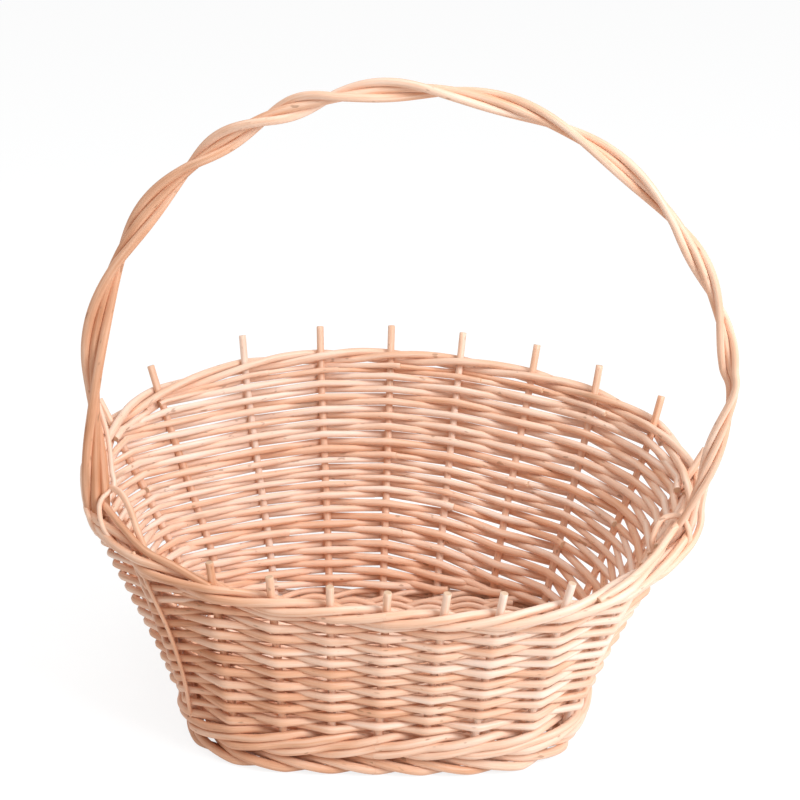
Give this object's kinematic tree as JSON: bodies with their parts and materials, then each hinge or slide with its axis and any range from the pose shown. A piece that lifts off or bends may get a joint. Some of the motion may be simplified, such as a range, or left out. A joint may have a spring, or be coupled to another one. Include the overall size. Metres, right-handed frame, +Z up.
{
  "type": "wicker gift basket",
  "caption": "Oval willow basket with a low front and a high back, randed walls on upright stakes, waled rim and foot, and a fixed twisted hoop handle.",
  "frame": {"origin": "on the floor, under the middle of the basket's whole box", "axes": "+Z up, +X to the basket's right as seen from its low front, -Y towards the low front"},
  "size_m": [0.4434, 0.3204, 0.431],
  "materials": {
    "stakes": "peeled willow, satin",
    "weave": "peeled willow, satin",
    "borders": "peeled willow, satin",
    "handle": "peeled willow, satin",
    "base": "peeled willow, satin"
  },
  "bodies": {
    "root": {"stake_01": "stakes", "stake_02": "stakes", "stake_03": "stakes", "stake_04": "stakes", "stake_05": "stakes", "stake_07": "stakes", "stake_08": "stakes", "stake_09": "stakes", "stake_10": "stakes", "stake_11": "stakes", "stake_12": "stakes", "stake_13": "stakes", "stake_14": "stakes", "stake_15": "stakes", "stake_16": "stakes", "stake_17": "stakes", "stake_19": "stakes", "stake_20": "stakes", "stake_21": "stakes", "stake_22": "stakes", "weaver_1": "weave", "weaver_2": "weave", "weaver_3": "weave", "weaver_4": "weave", "packing_weaver_1": "weave", "packing_weaver_2": "weave", "packing_weaver_3": "weave", "packing_weaver_4": "weave", "packing_weaver_5": "weave", "packing_weaver_6": "weave", "packing_weaver_7": "weave", "packing_weaver_8": "weave", "rim_border_rod_1": "borders", "rim_border_rod_2": "borders", "rim_border_rod_3": "borders", "upset_wale_rod_1": "borders", "upset_wale_rod_2": "borders", "upset_wale_rod_3": "borders", "upset_wale_rod_4": "borders", "foot_border_rod_1": "borders", "foot_border_rod_2": "borders", "foot_border_rod_3": "borders", "base_stick_1": "base", "base_stick_2": "base", "base_stick_3": "base", "base_stick_4": "base", "base_stick_5": "base", "base_stick_6": "base", "base_stick_7": "base", "base_weaver": "base", "handle_bow": "handle", "handle_wrap_1": "handle", "handle_wrap_2": "handle", "handle_lashing_right_1": "handle", "handle_lashing_right_2": "handle", "handle_lashing_left_1": "handle", "handle_lashing_left_2": "handle"}
  },
  "joints": []
}
